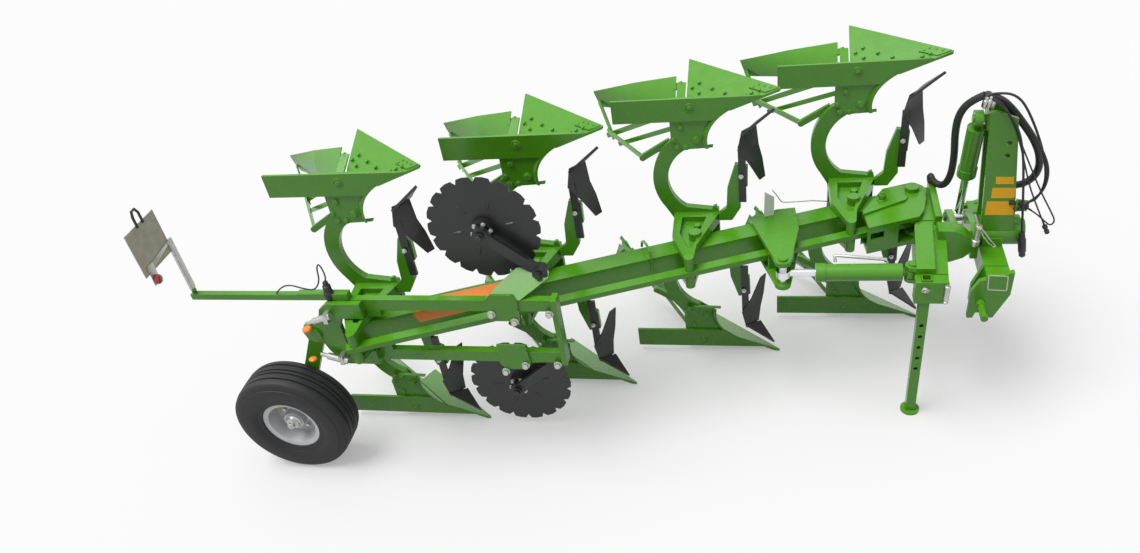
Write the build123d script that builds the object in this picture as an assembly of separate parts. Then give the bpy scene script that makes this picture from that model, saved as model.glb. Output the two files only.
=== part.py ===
from build123d import *
import math
import os

# A four-furrow reversible mounted mouldboard plough, standing on its lower
# shares, its depth wheel and its parking stand.  Millimetres, +X in the
# direction of travel, +Y to the left, +Z up, z = 0 on the floor.
#
# It is drawn in the plough's own frame: y = 0 is the landside plane of the
# first bottom, and x = 0 lies half a metre ahead of that landside's rear end.
# At the end everything moves together so that the origin lies on the floor
# under the middle of the whole.
ORIGIN_X = -1420.0
ORIGIN_Y = -396.63

os.makedirs("parts", exist_ok=True)

# Driving dimensions of the whole machine
BOTTOMS = 4                # pairs of plough bottoms
SPACING = 850.0            # from bottom to bottom, along the travel
FURROW = 330.0             # furrow width as parked, its least
AXIS_Z = 875.0             # turnover axis above the floor, and mirror plane
AXIS_Y = -311.0            # turnover axis, sideways
RUNNING = 0.3              # clearance of a pin in its bore

# The beam, a square tube that runs across the travel at an angle
BEAM_ANGLE = math.degrees(math.atan2(FURROW, SPACING))
BEAM_SIZE = 120.0
BEAM_SIDE = -120.0         # its middle, off the line through the first landside
BEAM_OVERHANG = 117.0      # beyond the last body's pivot, along itself
BEAM_FRONT = 150.0
MID = Plane.XY.offset(AXIS_Z)

ALONG = Vector(1, 0, 0).rotate(Axis.Z, BEAM_ANGLE)
ACROSS = Vector(0, 1, 0).rotate(Axis.Z, BEAM_ANGLE)


def on_beam(s, c, z=0.0):
    """A point s along the beam and c across it, as x, y, z."""
    return ALONG * s + ACROSS * c + Vector(0, 0, z)


# Pivots, in the landside's own x and y for those that repeat
KNEE_X = -85.0             # a console's pivot on the beam
KNEE_Y = (BEAM_SIDE - ACROSS.X * KNEE_X) / ACROSS.Y
LEVER_X = -19.0            # from that pivot to its pin on the control rod
LEVER_Y = -189.0
SWIVEL_X = 235.0           # the beam's pivot on the carrier
SWIVEL_Y = (BEAM_SIDE - ACROSS.X * SWIVEL_X) / ACROSS.Y
KNEE_PIN_R = 20.0
ROD_PIN_R = 14.0
SWIVEL_PIN_R = 30.0

# The control rod, a flat tube
ROD_WIDTH = 58.0
ROD_HEIGHT = 30.0
ROD_OVERHANG = 45.0        # beyond its rearmost pin
GAP = 5.0                  # clearance between bodies that move past each other


def block(x0, x1, y0, y1, z0, z1):
    """An upright box between two corners."""
    size = Box(x1 - x0, y1 - y0, z1 - z0)
    return Pos((x0 + x1) / 2, (y0 + y1) / 2, (z0 + z1) / 2) * size


def rod(start, end, radius):
    """A round bar between two points."""
    a = Vector(*start)
    b = Vector(*end)
    foot = Plane(origin=a, z_dir=(b - a).normalized())
    return extrude(foot * Circle(radius), (b - a).length)


def bar(start, end, width, height, up=(0, 0, 1)):
    """A bar of oblong section between two points, its height towards up."""
    a = Vector(*start)
    b = Vector(*end)
    run = (b - a).normalized()
    side = Vector(*up).cross(run).normalized()
    return extrude(Plane(origin=a, x_dir=side, z_dir=run) * Rectangle(width, height), (b - a).length)


def side_plate(outline, y0, y1):
    """A plate in the x-z plane, from a face drawn in x and z."""
    plane = Plane(origin=(0, y1, 0), x_dir=(1, 0, 0), z_dir=(0, -1, 0))
    return extrude(plane * outline, y1 - y0)


def flat_plate(outline, z0, z1):
    """A level plate, from a face drawn in x and y."""
    return extrude(Pos(0, 0, z0) * outline, z1 - z0)


def polygon(*corners):
    return make_face(Polyline(*corners, close=True))


def both(piece):
    """A piece and its mirror image across the turnover plane."""
    return [piece, mirror(piece, about=MID)]


def slotted(piece, centre, radius, axis):
    """A piece with a round hole right through it along an axis."""
    reach = Vector(*axis) * 2000
    return piece - rod(Vector(*centre) - reach, Vector(*centre) + reach, radius)


nodes = {}


def node(name, *pieces):
    """Keep the solids of some pieces, or of lists of them, under a name."""
    solids = []
    for piece in pieces:
        group = piece if isinstance(piece, list) else [piece]
        for each in group:
            solids += each.solids()
    nodes[name] = solids


def spin(profile, axis):
    """A turned piece, from a face beside its axis."""
    return revolve(profile, axis, 360)


# Plough bottoms, drawn for the lower one of a pair
# Its landside: a bar behind the plane y = 0
SHARE_DROP = 37.0          # landside above the share's tip
LANDSIDE_REAR = -500.0
LANDSIDE_HEIGHT = 128.0
LANDSIDE_THICK = 14.0
FROG_THICK = 22.0
LEG_THICK = 40.0
FROG_BACK = -200.0
FROG_TOP = 328.0

# Share: cutting edge from the tip out to the wing
TIP_X = 370.0
TIP_Y = 6.0
WING_X = -117.0
WING_Y = 408.0
SHARE_SLOPE = 31.0
SHARE_WIDTH = 200.0
SHARE_THICK = 12.0
SHARE_END = -120.0         # its rear end, square to the travel
BOARD_THICK = 8.0


def arc_band(low, middle, high, thick):
    """The face between an arc through three points and its offset inwards."""
    ax, ay = low
    bx, by = middle
    cx, cy = high
    double = 2 * (ax * (by - cy) + bx * (cy - ay) + cx * (ay - by))
    a2 = ax * ax + ay * ay
    b2 = bx * bx + by * by
    c2 = cx * cx + cy * cy
    centre_x = (a2 * (by - cy) + b2 * (cy - ay) + c2 * (ay - by)) / double
    centre_y = (a2 * (cx - bx) + b2 * (ax - cx) + c2 * (bx - ax)) / double
    radius = math.hypot(ax - centre_x, ay - centre_y)
    keep = (radius - thick) / radius

    def inner(x, y):
        return (centre_x + (x - centre_x) * keep, centre_y + (y - centre_y) * keep)

    edges = (
        ThreePointArc(low, middle, high)
        + Line(high, inner(cx, cy))
        + ThreePointArc(inner(cx, cy), inner(bx, by), inner(ax, ay))
        + Line(inner(ax, ay), low)
    )
    return make_face(edges)


# The cutting edge's frame: t runs out along the edge, s lies behind it
EDGE = (Vector(WING_X, WING_Y) - Vector(TIP_X, TIP_Y)).normalized()
BEHIND = Vector(-EDGE.Y, EDGE.X)
EDGE_LENGTH = (Vector(WING_X, WING_Y) - Vector(TIP_X, TIP_Y)).length
SHARE_RISE = math.sin(math.radians(SHARE_SLOPE))
SHARE_RUN = math.cos(math.radians(SHARE_SLOPE))
SEAM = 0.3                 # joint between share and mouldboard


def at_share(t, s, z):
    return Vector(TIP_X, TIP_Y, 0) + EDGE * t + BEHIND * s + Vector(0, 0, z)


def share_slab(t0, t1, w0, w1, deep, high):
    """An oblong in the share's plane, t along its edge and w up its slope."""
    up_slope = BEHIND * SHARE_RUN + Vector(0, 0, SHARE_RISE)
    plane = Plane(origin=at_share(0, 0, 0), x_dir=EDGE, z_dir=EDGE.cross(up_slope))
    slab = Box(t1 - t0, w1 - w0, high - deep)
    return plane * (Pos((t0 + t1) / 2, (w0 + w1) / 2, (deep + high) / 2) * slab)


# The shin's sections out along the share: t, then s and z of its lower edge,
# its middle and its upper edge, all on its back
SHIN_SECTIONS = (
    # t, (low s, low z), (middle s, middle z), (high s, high z)
    (120, (169, 101), (228, 178), (250, 330)),
    (640, (169, 101), (233, 190), (246, 325)),
)
# The wing strip's sections across the travel: x, how far it leans forward,
# then y and height of its lower edge, its middle and its upper edge, on its back
WING_SECTIONS = (
    # x, z, lean, (low y, low), (middle y, middle), (high y, high)
    (-182, 48, 0.0, (303, 0), (226, 55), (148, 140)),
    (-440, 143, 0.15, (455, 0), (400, 58), (375, 128)),
    (-728, 272, 0.37, (644, 0), (636, 54), (640, 108)),
)
# The slats above the wing strip: from the frog out to the tail
SLATS = (
    # start, end, height
    ((-142, 28, 110), (-650, 527, 505), 30),
    ((-145, 28, 202), (-560, 402, 498), 26),
)


def board_loft(thick):
    faces = []
    for t, low, middle, high in SHIN_SECTIONS:
        plane = Plane(origin=at_share(t, 0, 0), x_dir=BEHIND, z_dir=EDGE)
        faces.append(plane * arc_band(low, middle, high, thick))
    return loft(faces, ruled=True)


def wing_strip():
    """The long strip that carries on behind the shin, out to the tail."""
    faces = []
    for x, z, lean, low, middle, high in WING_SECTIONS:
        up = Vector(lean, 0, 1).normalized()
        plane = Plane(origin=(x, 0, z), x_dir=(0, 1, 0), z_dir=Vector(0, 1, 0).cross(up))
        faces.append(plane * arc_band(low, middle, high, BOARD_THICK))
    return loft(faces, ruled=True)


LAND_SIDE = block(-2000, 2000, -2000, 0, -1000, 2000)
UNDER_SHARE = share_slab(-300, EDGE_LENGTH + SEAM, -100, SHARE_WIDTH + SEAM, -400, SHARE_THICK + SEAM)


def share():
    plane_piece = share_slab(0, EDGE_LENGTH, 0, SHARE_WIDTH, 0, SHARE_THICK)
    return plane_piece & block(SHARE_END, TIP_X, 0, 2000, -200, 1000)


def mouldboard():
    """The shin piece over the share and the wing strip behind it."""
    board = board_loft(BOARD_THICK) - LAND_SIDE - UNDER_SHARE
    shin = board & block(SHARE_END, 2000, -100, 2000, -200, 1000)
    return [max(piece.solids(), key=lambda s: s.volume) for piece in (shin, wing_strip())]


BOARDS = mouldboard()
BEFORE_BOARD = board_loft(BOARD_THICK + 110)
SHARE_BED = share_slab(-300, EDGE_LENGTH + 300, -200, SHARE_WIDTH, 0, 400)


def behind_board(piece):
    """A piece of the frame cut to lie against the share's and board's backs."""
    rest = piece - BEFORE_BOARD - SHARE_BED
    for board in BOARDS:
        rest -= board
    return max(rest.solids(), key=lambda s: s.volume)


def landside():
    low = SHARE_DROP
    high = SHARE_DROP + LANDSIDE_HEIGHT
    outline = polygon(
        (LANDSIDE_REAR, low),
        (LANDSIDE_REAR, high),
        (70, high),
        (130, high - 30),
        (TIP_X - 60, low + 8),
        (TIP_X - 60, low),
    )
    return behind_board(side_plate(outline, 0, LANDSIDE_THICK))


def frog():
    low = SHARE_DROP + 8
    outline = polygon(
        (FROG_BACK, low),
        (FROG_BACK, FROG_TOP - 40),
        (FROG_BACK + 60, FROG_TOP + 8),
        (20, FROG_TOP),
        (30, 200),
        (140, 120),
        (TIP_X - 60, low + 10),
        (TIP_X - 90, low),
    )
    return behind_board(side_plate(outline, LANDSIDE_THICK, LANDSIDE_THICK + FROG_THICK))


# Leg: the curved bar from the frog up to the console
LEG_FRONT_X = 35.0
LEG_BACK_X = -215.0
LEG_NEAR = LANDSIDE_THICK + FROG_THICK
LEG_FAR = LEG_NEAR + 40


def leg():
    foot = AXIS_Z - BEAM_SIZE / 2 - GAP
    edge = (
        Line((LEG_BACK_X, foot), (LEG_BACK_X - 5, 778))
        + Line((LEG_BACK_X - 5, 778), (-262, 705))
        + ThreePointArc((-262, 705), (-317, 520), (FROG_BACK - 10, FROG_TOP - 30))
        + Line((FROG_BACK - 10, FROG_TOP - 30), (-60, FROG_TOP - 60))
        + Line((-60, FROG_TOP - 60), (-110, FROG_TOP + 10))
        + ThreePointArc((-110, FROG_TOP + 10), (-236, 530), (-145, 710))
        + Line((-145, 710), (LEG_FRONT_X, 735))
        + Line((LEG_FRONT_X, 735), (LEG_FRONT_X, foot))
        + Line((LEG_FRONT_X, foot), (LEG_BACK_X, foot))
    )
    return side_plate(make_face(edge), LEG_NEAR, LEG_FAR)


def stays():
    """The bent bar from the leg to the tail, the slats and what ties them."""
    knee = Vector(-372, LEG_FAR + 12, 415)
    tail = Vector(-640, 517, 470)
    pieces = [bar(knee, tail, 30, 12, up=(0, 1, 0)), bar((-215, LEG_FAR + 8, 318), knee, 24, 34)]
    pieces.append(rod(knee - Vector(0, 14, 0), knee + Vector(0, 14, 0), 17))
    for start, end, height in SLATS:
        pieces.append(bar(start, end, height, 8, up=(0.7, 0.7, 0)))
    pieces.append(bar((-600, 470, 500), (-694, 622, 328), 30, 8, up=(0.7, 0.7, 0)))
    # Strut behind the joint of shin and wing strip
    pieces.append(bar((-150, LEG_NEAR - 8, 165), (-150, 262, 70), 46, 10, up=(0, 0.5, 1)))
    pieces.append(bar((-150, 250, 72), (-196, 262, 96), 40, 10, up=(0, 0.5, 1)))
    return pieces


# Skimmer: an arm ahead of the console, a stalk and a blade
SKIMMER_Y = 5.0
SKIMMER_ARM = 30.0


def skimmer_arm():
    outline = polygon(
        (LEG_FRONT_X, 742),
        (LEG_FRONT_X, 782),
        (108, 782),
        (128, 750),
        (158, 700),
        (150, 590),
        (197, 565),
        (200, 445),
        (132, 430),
        (88, 575),
        (80, 700),
    )
    return side_plate(outline, SKIMMER_Y, SKIMMER_Y + SKIMMER_ARM)


# Sections of the skimmer's small mouldboard: height, then its two edges in plan
SKIMMER_SECTIONS = (
    (215, (178, -34), (246, 44)),
    (330, (152, -32), (258, 36)),
    (420, (208, -8), (276, 56)),
    (545, (262, 34), (290, 74)),
)


def thin_loft(sections, thick):
    """A thin curved plate through level strips, each between two plan points."""
    faces = []
    for z, start, end in sections:
        run = (Vector(*end) - Vector(*start)).normalized()
        side = Vector(-run.Y, run.X) * thick
        a = Vector(*start)
        b = Vector(*end)
        corners = [(p.X, p.Y, z) for p in (a, b, b + side, a + side)]
        faces.append(make_face(Polyline(*corners, close=True)))
    return loft(faces, ruled=True)


def skimmer():
    stalk = block(150, 190, SKIMMER_Y - 18, SKIMMER_Y, 318, 655)
    tip = Vector(338, -27, 100)
    land = Vector(170, -36, 238)
    wing = Vector(252, 50, 205)
    normal = (land - tip).cross(wing - tip)
    edge = make_face(Polyline(*[(c.X, c.Y, c.Z) for c in (tip, land, wing)], close=True))
    share_plate = extrude(edge, 7, dir=normal.normalized(), both=True)
    return stalk + thin_loft(SKIMMER_SECTIONS, 7) + share_plate


# Console: arms over and under the beam, joined behind it
TIP_PIN_X = KNEE_X + LEVER_X
TIP_PIN_Y = KNEE_Y + LEVER_Y
ARM_LOW = AXIS_Z + BEAM_SIZE / 2 + GAP


def console():
    plan = polygon(
        (LEG_BACK_X, LEG_FAR),
        (LEG_FRONT_X, LEG_FAR),
        (LEG_FRONT_X, 20),
        (TIP_PIN_X + 34, TIP_PIN_Y + 100),
        (TIP_PIN_X + 26, TIP_PIN_Y),
        (TIP_PIN_X - 26, TIP_PIN_Y),
        (-208, -175),
    )
    low = ARM_LOW
    across_it = Plane(origin=(-400, 0, 0), x_dir=(0, 1, 0), z_dir=(1, 0, 0))
    slope = polygon((90, low), (90, low + 70), (-60, low + 60), (-400, low + 22), (-400, low))
    arm = flat_plate(plan, low, low + 80) & extrude(across_it * slope, 800)
    hollow = polygon((-10, low + 30), (-10, low + 90), (-400, low + 90), (-400, low + 8))
    pocket = polygon((-165, 0), (-30, 0), (-92, -270), (-118, -270), (-170, -150))
    arm -= flat_plate(pocket, low, low + 90) & extrude(across_it * hollow, 800)
    tip = rod((TIP_PIN_X, TIP_PIN_Y, AXIS_Z + ROD_HEIGHT / 2 + RUNNING), (TIP_PIN_X, TIP_PIN_Y, low + 32), 26)
    knee = rod((KNEE_X, KNEE_Y, AXIS_Z + BEAM_SIZE / 2 + RUNNING), (KNEE_X, KNEE_Y, low + 68), 34)
    whole = arm + tip + knee
    lug = polygon((-14, low + 20), (LEG_FRONT_X, low + 20), (LEG_FRONT_X, low + 76), (22, low + 106), (4, low + 100))
    whole += side_plate(lug, 36, 56)
    whole += mirror(whole, about=MID)
    whole += block(LEG_BACK_X, LEG_FRONT_X, 40, LEG_FAR, AXIS_Z - 70, AXIS_Z + 70)
    whole += rod((KNEE_X, KNEE_Y, AXIS_Z - 100), (KNEE_X, KNEE_Y, AXIS_Z + 100), KNEE_PIN_R)
    whole += rod((TIP_PIN_X, TIP_PIN_Y, AXIS_Z - 60), (TIP_PIN_X, TIP_PIN_Y, AXIS_Z + 60), ROD_PIN_R)
    return whole


def body_offset(k):
    return Vector(-SPACING * k, -FURROW * k, 0)


# The bodies, front to rear
CONSOLE = console()
LEG = behind_board(leg() - CONSOLE) + frog()
for piece in stays():
    LEG += behind_board(piece - LAND_SIDE)
BRACKETED = CONSOLE
for arm in both(skimmer_arm()):
    BRACKETED += arm
PAIR = {
    "console": [BRACKETED],
    "legs": both(LEG),
    "landsides": both(landside()),
    "shares": both(share()),
    "mouldboards": [piece for board in BOARDS for piece in both(board)],
    "skimmers": both(skimmer()),
}
for k in range(BOTTOMS):
    move = Pos(body_offset(k))
    for name, pieces in PAIR.items():
        node(f"{name}_{k + 1}", [move * piece for piece in pieces])


# Beam: a square tube closed at both ends, bushed for the consoles' pivots
BEAM_WALL = 10.0
BEAM_FRAME = Plane(origin=(0, 0, 0), x_dir=ALONG, z_dir=(0, 0, 1))


def beam_block(s0, s1, c0, c1, z0, z1):
    """A box between two corners given along and across the beam."""
    return BEAM_FRAME * block(s0, s1, c0, c1, z0, z1)


def beam_point(x, y):
    """A point's distances along and across the beam."""
    at = Vector(x, y)
    return at.dot(ALONG), at.dot(ACROSS)


LAST_KNEE = Vector(KNEE_X, KNEE_Y) + body_offset(BOTTOMS - 1)
BEAM_REAR = beam_point(LAST_KNEE.X, LAST_KNEE.Y)[0] - BEAM_OVERHANG


def beam():
    half = BEAM_SIZE / 2
    side = (BEAM_SIDE - half, BEAM_SIDE + half)
    inner = half - BEAM_WALL
    tube = beam_block(BEAM_REAR, BEAM_FRONT, *side, AXIS_Z - half, AXIS_Z + half)
    tube -= beam_block(
        BEAM_REAR + 10, BEAM_FRONT - 10, BEAM_SIDE - inner, BEAM_SIDE + inner, AXIS_Z - inner, AXIS_Z + inner
    )
    for k in range(BOTTOMS):
        pivot = Vector(KNEE_X, KNEE_Y) + body_offset(k)
        tube = slotted(tube, (pivot.X, pivot.Y, AXIS_Z), KNEE_PIN_R + RUNNING, (0, 0, 1))
    return tube


node("beam", beam())

# Beam head: plates over and under the beam that reach out to the swivel
SWIVEL_S, SWIVEL_C = beam_point(SWIVEL_X, SWIVEL_Y)
HEAD_THICK = 25.0
TONGUE_R = 75.0
HEAD_NEAR = -375.0


def beam_head():
    top = AXIS_Z + BEAM_SIZE / 2
    outline = polygon(
        (-165, HEAD_NEAR),
        (120, HEAD_NEAR),
        (174, -325),
        (233, -230),
        (SWIVEL_S + 60, SWIVEL_C - 45),
        (SWIVEL_S, SWIVEL_C + TONGUE_R),
        (85, -45),
        (70, -45),
        (-125, -212),
    )
    plate = flat_plate(outline + Pos(SWIVEL_S, SWIVEL_C) * Circle(TONGUE_R), top, top + HEAD_THICK)
    rib = polygon((-150, -262), (-120, -232), (110, -178), (150, -186), (120, -215))
    plate += flat_plate(rib, top, top + HEAD_THICK + 14)
    head = plate + mirror(plate, about=MID)
    head += block(-165, 10, HEAD_NEAR, HEAD_NEAR + 12, AXIS_Z - 62, AXIS_Z + 62)
    head -= block(-150, -72, HEAD_NEAR - 5, HEAD_NEAR + 15, AXIS_Z + 2, AXIS_Z + 42)
    return slotted(BEAM_FRAME * head, (SWIVEL_X, SWIVEL_Y, AXIS_Z), SWIVEL_PIN_R + RUNNING, (0, 0, 1))


node("beam_head", beam_head())

# Lever bracket on the beam, that the width cylinder pushes on
LEVER_TIP_X = -463.0
LEVER_TIP_Y = -693.0
EYE_PIN_R = 20.0


def lever_bracket():
    top = AXIS_Z + BEAM_SIZE / 2
    outline = polygon(
        (-646, -302), (-500, -210), (-400, -195), (-380, -400),
        (LEVER_TIP_X + 42, LEVER_TIP_Y), (LEVER_TIP_X - 42, LEVER_TIP_Y)
    )
    plate = flat_plate(outline + Pos(LEVER_TIP_X, LEVER_TIP_Y) * Circle(42), top, top + 25)
    bracket = plate + mirror(plate, about=MID)
    bracket += beam_block(-710, -566, -345, -330, AXIS_Z - 60, AXIS_Z + 60)
    tip = (LEVER_TIP_X, LEVER_TIP_Y)
    for side in (1, -1):
        bracket += rod((*tip, AXIS_Z + side * 84), (*tip, AXIS_Z + side * 97), EYE_PIN_R + 4)
    return bracket


node("lever_bracket", lever_bracket())

# Control rod: from the carrier to the consoles' tips
ROD_PIN_X = SWIVEL_X + LEVER_X
ROD_PIN_Y = SWIVEL_Y + LEVER_Y


def control_rod():
    front_s, rod_c = beam_point(ROD_PIN_X, ROD_PIN_Y)
    last = Vector(TIP_PIN_X, TIP_PIN_Y) + body_offset(BOTTOMS - 1)
    rear_s = beam_point(last.X, last.Y)[0] - ROD_OVERHANG
    half = ROD_WIDTH / 2
    low = AXIS_Z - ROD_HEIGHT / 2
    piece = beam_block(rear_s, front_s, rod_c - half, rod_c + half, low, low + ROD_HEIGHT)
    piece += rod((ROD_PIN_X, ROD_PIN_Y, low), (ROD_PIN_X, ROD_PIN_Y, low + ROD_HEIGHT), half)
    piece = slotted(piece, (ROD_PIN_X, ROD_PIN_Y, AXIS_Z), ROD_PIN_R + RUNNING, (0, 0, 1))
    for k in range(BOTTOMS):
        pin = Vector(TIP_PIN_X, TIP_PIN_Y) + body_offset(k)
        piece = slotted(piece, (pin.X, pin.Y, AXIS_Z), ROD_PIN_R + RUNNING, (0, 0, 1))
    return piece


node("control_rod", control_rod())

# Carrier: turns in the headstock and carries the beam, the width cylinder and
# the parking stand
TONGUE_HALF = BEAM_SIZE / 2 - GAP
TONGUE_THICK = 25.0
SHAFT_R = 45.0
CRANK = 130.0
CYLINDER_X = 465.0
WIDTH_BASE_X = 180.0
WIDTH_BASE_Y = -688.0
ARM_TOP = (262.0, -372.0)
ARM_END = (228.0, -835.0)


def carrier():
    # Tongue between the beam head's plates, and the flange that it grows from
    plan = polygon(
        (235, 10), (330, 40), (360, 40), (360, -300), (215, -290), (185, -262), (185, -195), (228, -150), (238, -110)
    )
    plan += Pos(SWIVEL_X, SWIVEL_Y) * Circle(48)
    plate = flat_plate(plan, AXIS_Z + TONGUE_HALF - TONGUE_THICK, AXIS_Z + TONGUE_HALF)
    whole = plate + mirror(plate, about=MID)
    whole += block(325, 360, -330, 40, AXIS_Z - 100, AXIS_Z + 100)
    whole += rod((SWIVEL_X, SWIVEL_Y, AXIS_Z - TONGUE_HALF), (SWIVEL_X, SWIVEL_Y, AXIS_Z + TONGUE_HALF), 48)
    # Arm to the stand: low under the head's plates, then full height
    whole += bar((315, -160, AXIS_Z), (*ARM_TOP, AXIS_Z), 90, 100)
    whole += bar((*ARM_TOP, AXIS_Z), (*ARM_END, AXIS_Z), 90, 150)
    whole += bar((346, -300, AXIS_Z), (300, -790, AXIS_Z), 76, 90)
    whole -= block(100, 224, WIDTH_BASE_Y - 46, WIDTH_BASE_Y + 46, AXIS_Z - 25, AXIS_Z + 25)
    # Saddle beside the turnover axis, with ears for the cylinder's eye
    saddle = polygon((325, -100), (325, 100), (400, 96), (462, 70), (500, 30), (500, -30), (462, -70), (400, -96))
    whole += side_plate(Pos(0, AXIS_Z) * saddle, AXIS_Y - 160, AXIS_Y - 70)
    ear = AXIS_Y + CRANK
    for x0, x1 in ((400, 435), (495, 530)):
        near = AXIS_Y - 160
        far = AXIS_Y - 40
        lug = polygon((near, -75), (near, 75), (far, 75), (ear, 40), (ear, -40), (far, -75))
        disc = Pos(ear, 0) * Circle(40)
        plate = Plane(origin=(x0, 0, AXIS_Z), x_dir=(0, 1, 0), z_dir=(1, 0, 0)) * (lug + disc)
        whole += extrude(plate, x1 - x0)
    whole += rod((392, ear, AXIS_Z), (401, ear, AXIS_Z), 24)
    whole += rod((529, ear, AXIS_Z), (538, ear, AXIS_Z), 24)
    whole += rod((500, AXIS_Y, AXIS_Z), (770, AXIS_Y, AXIS_Z), SHAFT_R)
    whole += rod((746, AXIS_Y, AXIS_Z), (770, AXIS_Y, AXIS_Z), 60)
    # Pivot pins of the beam and of the control rod
    whole += rod((SWIVEL_X, SWIVEL_Y, AXIS_Z - 100), (SWIVEL_X, SWIVEL_Y, AXIS_Z + 100), SWIVEL_PIN_R)
    over = BEAM_SIZE / 2 + HEAD_THICK + RUNNING
    for side in (1, -1):
        whole += rod((SWIVEL_X, SWIVEL_Y, AXIS_Z + side * over), (SWIVEL_X, SWIVEL_Y, AXIS_Z + side * (over + 26)), 38)
    whole += rod((ROD_PIN_X, ROD_PIN_Y, AXIS_Z - TONGUE_HALF), (ROD_PIN_X, ROD_PIN_Y, AXIS_Z + TONGUE_HALF), ROD_PIN_R)
    # Lugs of the width cylinder
    lug = polygon((240, WIDTH_BASE_Y - 60), (240, WIDTH_BASE_Y + 60), (180, WIDTH_BASE_Y + 36), (180, WIDTH_BASE_Y - 36))
    lug = flat_plate(lug + Pos(WIDTH_BASE_X, WIDTH_BASE_Y) * Circle(36), AXIS_Z + 25, AXIS_Z + 47)
    base = (WIDTH_BASE_X, WIDTH_BASE_Y)
    whole += lug + mirror(lug, about=MID)
    return whole + rod((*base, AXIS_Z - 55), (*base, AXIS_Z + 55), EYE_PIN_R)


STAND_X = 235.0
STAND_Y = -800.0
STAND_SIZE = 50.0
HOLDER_HALF = 35.0


def stand_holder():
    hole = STAND_SIZE / 2 + 0.5
    low, high = STAND_Y - HOLDER_HALF, STAND_Y + HOLDER_HALF
    return block(182, 338, low, high, AXIS_Z - 90, AXIS_Z + 40) - block(
        STAND_X - hole, STAND_X + hole, STAND_Y - hole, STAND_Y + hole, 0, 2000
    )


CARRIER = carrier()
HOLDER = stand_holder()
AROUND_HOLDER = block(100, 338, -1000, STAND_Y + HOLDER_HALF, AXIS_Z - 90, AXIS_Z + 80)
node("carrier", max((CARRIER - AROUND_HOLDER).solids(), key=lambda s: s.volume))
node("stand_holder", HOLDER)


def stand():
    half = STAND_SIZE / 2
    piece = block(STAND_X - half, STAND_X + half, STAND_Y - half, STAND_Y + half, 10, 925)
    piece -= block(STAND_X - half + 6, STAND_X + half - 6, STAND_Y - half + 6, STAND_Y + half - 6, 20, 1100)
    for step in range(5):
        piece = slotted(piece, (STAND_X, STAND_Y, 330 + 75 * step), 11, (0, 1, 0))
    return piece + rod((STAND_X, STAND_Y, 0), (STAND_X, STAND_Y, 14), 50)


node("stand", stand())

# Width cylinder, level, from the carrier's arm to the lever bracket
WIDTH_RUN = Vector(LEVER_TIP_X - WIDTH_BASE_X, LEVER_TIP_Y - WIDTH_BASE_Y)


def on_line(start, run, distance):
    return Vector(*start) + run.normalized() * distance


def cylinder(start, run, eye_axis, eye_r, barrel_r, barrel_end, rod_in, pin_half):
    """A barrel with its eye at start, and a rod with its pin at the far end."""
    end = Vector(*start) + run
    axis = Vector(*eye_axis)
    first = rod(Vector(*start) - axis * 20, Vector(*start) + axis * 20, eye_r)
    neck = rod(on_line(start, run, eye_r - 8), on_line(start, run, eye_r + 12), 19.5)
    tube = rod(on_line(start, run, eye_r + 10), on_line(start, run, barrel_end), barrel_r)
    gland = rod(on_line(start, run, barrel_end - 50), on_line(start, run, barrel_end), barrel_r + 5)
    barrel = first + neck + tube + gland
    barrel -= rod(on_line(start, run, eye_r + 30), on_line(start, run, barrel_end + 10), EYE_PIN_R + RUNNING)
    barrel = slotted(barrel, start, EYE_PIN_R + RUNNING, eye_axis)
    last = rod(end - axis * 20, end + axis * 20, eye_r) + rod(end - axis * pin_half, end + axis * pin_half, EYE_PIN_R)
    shank = rod(end - run.normalized() * (eye_r - 4), on_line(start, run, rod_in), EYE_PIN_R)
    return barrel, last + shank


width_barrel, width_rod = cylinder(
    (WIDTH_BASE_X, WIDTH_BASE_Y, AXIS_Z), WIDTH_RUN, (0, 0, 1), 38, 45, 477, 215, BEAM_SIZE / 2 - RUNNING
)
node("width_barrel", width_barrel)
node("width_rod", width_rod)

# Turnover cylinder, from the mast's top down to the crank
TOP_EYE_Z = 1530.0
TURN_RUN = Vector(0, CRANK, AXIS_Z - TOP_EYE_Z)
turn_barrel, turn_rod = cylinder((CYLINDER_X, AXIS_Y, TOP_EYE_Z), TURN_RUN, (1, 0, 0), 42, 43, 365, 222, 29)
node("turnover_barrel", turn_barrel)
node("turnover_rod", turn_rod)

# Headstock: the housing of the turnover shaft, a cross member and two cheeks
CHEEK_Y = 350.0
CHEEK_THICK = 28.0
LINK_PIN_X = 535.0
LINK_PIN_Z = 665.0
LINK_PIN_R = 18.3
LINK_PIN_FREE = 100.0      # the free end that a lower link's ball goes on
TOP_LINK_X = 611.0
TOP_LINK_Z = 1356.0


def headstock():
    body = rod((545, AXIS_Y, AXIS_Z), (745, AXIS_Y, AXIS_Z), 80)
    body += block(548, 665, AXIS_Y - 365, AXIS_Y + 365, 705, 825)
    body += block(560, 660, AXIS_Y - 90, AXIS_Y + 90, 820, AXIS_Z)
    outline = polygon(
        (673, 859), (672, 720), (607, 566), (560, 566), (548, 600),
        (520, 600), (508, 564), (481, 564), (483, 738), (517, 803)
    )
    for side in (1, -1):
        near = AXIS_Y + side * CHEEK_Y - CHEEK_THICK / 2
        body += side_plate(outline, near, near + CHEEK_THICK)
        inner = AXIS_Y + side * (CHEEK_Y - 100) - CHEEK_THICK / 2
        face = polygon((660, 830), (660, 705), (600, 600), (500, 600), (500, 700), (548, 830))
        body += side_plate(face, inner, inner + CHEEK_THICK)
    return slotted(body, (600, AXIS_Y, AXIS_Z), SHAFT_R + RUNNING, (1, 0, 0))


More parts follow.
